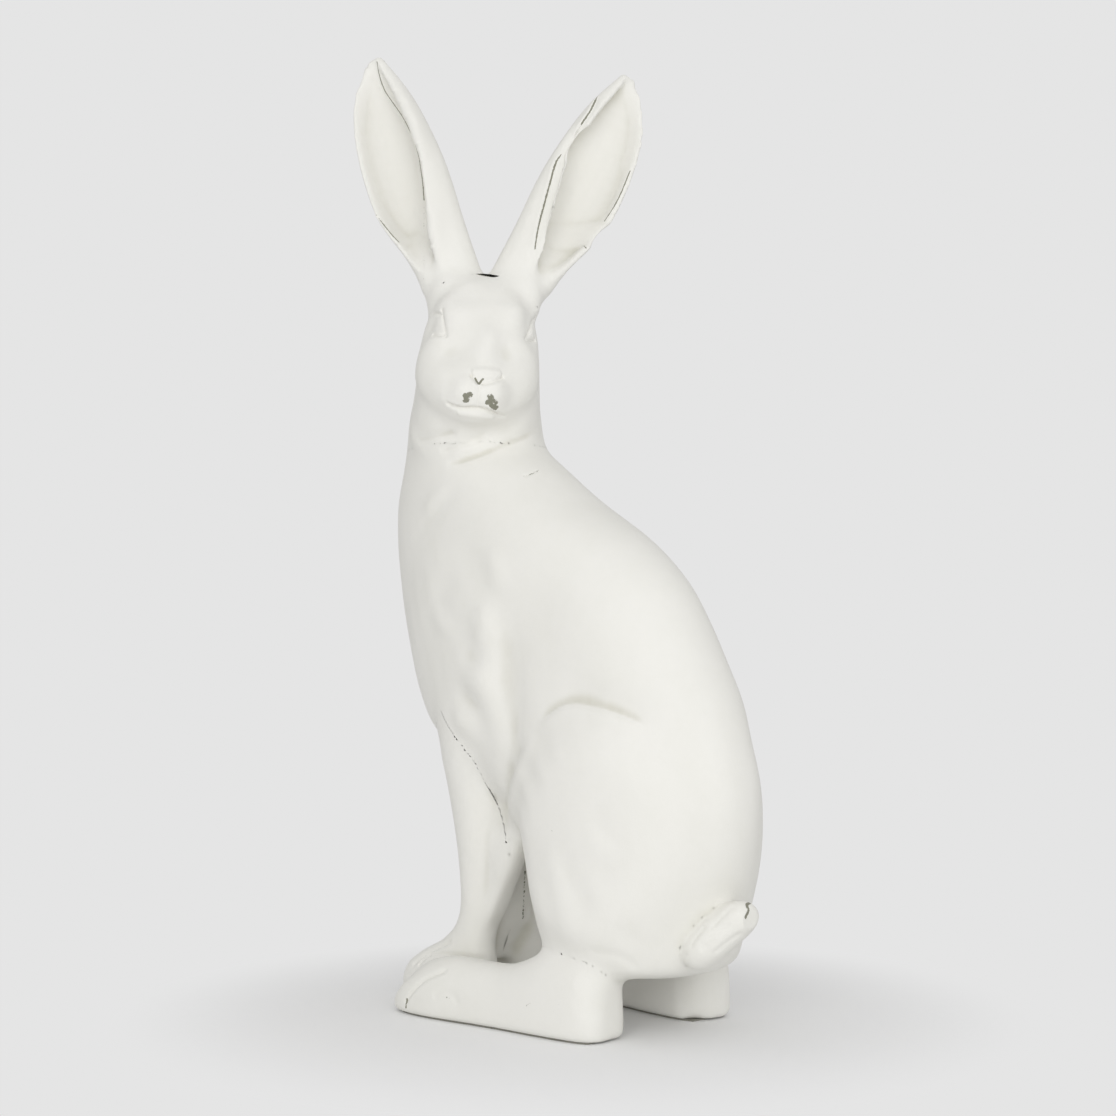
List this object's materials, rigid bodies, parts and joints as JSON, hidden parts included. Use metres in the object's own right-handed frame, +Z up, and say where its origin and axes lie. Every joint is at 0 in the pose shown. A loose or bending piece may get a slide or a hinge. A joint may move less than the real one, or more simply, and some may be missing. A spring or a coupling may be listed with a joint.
{
  "type": "hare figurine",
  "caption": "Sitting hare figurine with upright ears, its head turned back over its left shoulder, in worn off-white paint.",
  "frame": {"origin": "on the ground under the four felt pads, in the middle of the figurine's bounding box", "axes": "+Z up; the hips and feet face -Y; the hare's left side is +X; the head looks back towards +X +Y"},
  "size_m": [0.1724, 0.3154, 0.6187],
  "materials": {
    "painted_resin": "matte",
    "pin_steel": "satin",
    "plug_rubber": "matte",
    "felt": "matte"
  },
  "bodies": {
    "root": {"torso": "painted_resin", "head": "painted_resin", "left_ear": "painted_resin", "right_ear": "painted_resin", "left_foreleg": "painted_resin", "right_foreleg": "painted_resin", "left_hind_foot": "painted_resin", "right_hind_foot": "painted_resin", "tail": "painted_resin", "neck_dowel": "pin_steel", "left_ear_rod": "pin_steel", "right_ear_rod": "pin_steel", "left_foreleg_rod": "pin_steel", "right_foreleg_rod": "pin_steel", "left_heel_pin": "pin_steel", "right_heel_pin": "pin_steel", "tail_pin": "pin_steel", "vent_plug": "plug_rubber", "left_hind_pad": "felt", "right_hind_pad": "felt", "left_fore_pad": "felt", "right_fore_pad": "felt"}
  },
  "joints": []
}
